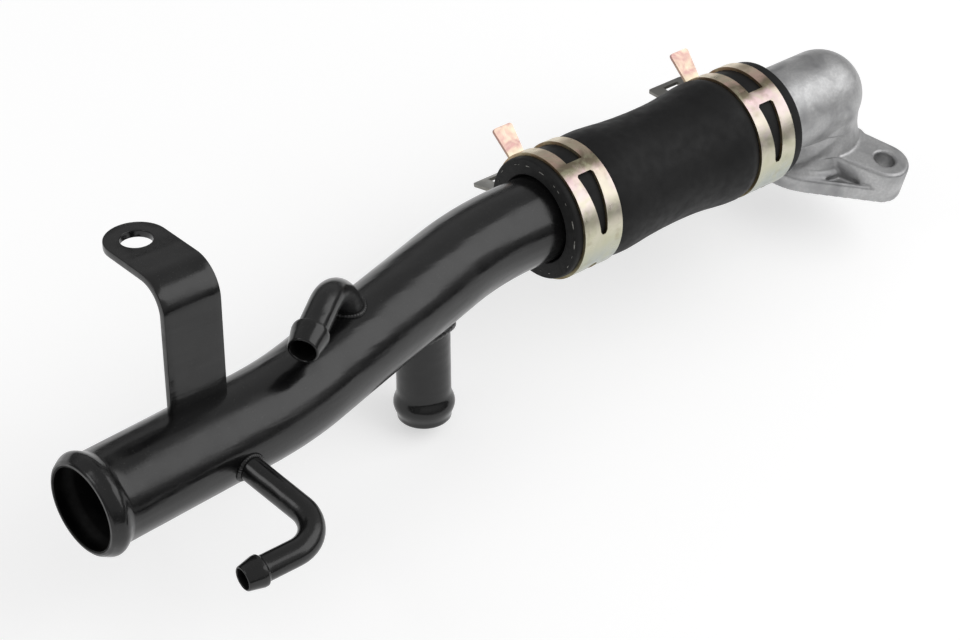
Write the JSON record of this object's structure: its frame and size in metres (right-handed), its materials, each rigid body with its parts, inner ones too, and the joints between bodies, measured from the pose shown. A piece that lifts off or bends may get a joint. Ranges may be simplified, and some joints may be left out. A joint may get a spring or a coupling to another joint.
{
  "type": "coolant pipe connector",
  "caption": "Bent coolant pipe with side branches and a mounting bracket, joined by a clamped hose to a cast elbow with a bolt flange.",
  "frame": {"origin": "centre of the elbow's bore on the flat mounting face of the flange", "axes": "+Z is the normal of the mounting face, away from the engine; the hose and the pipe run toward -X; -Y is the side with the small bent pipe"},
  "size_m": [0.3249, 0.1047, 0.0929],
  "materials": {
    "pipe_paint": "semi-gloss black paint on steel tube",
    "hose_rubber": "matte moulded rubber",
    "clamp_zinc": "yellow zinc plating with a faint pink and green sheen",
    "cast_alloy": "as cast, blasted, matte"
  },
  "bodies": {
    "root": {"main_pipe": "pipe_paint", "lower_branch": "pipe_paint", "side_pipe": "pipe_paint", "upper_pipe": "pipe_paint", "mounting_bracket": "pipe_paint", "connecting_hose": "hose_rubber", "hose_clamp_inner": "clamp_zinc", "hose_clamp_outer": "clamp_zinc", "elbow_flange": "cast_alloy"}
  },
  "joints": []
}
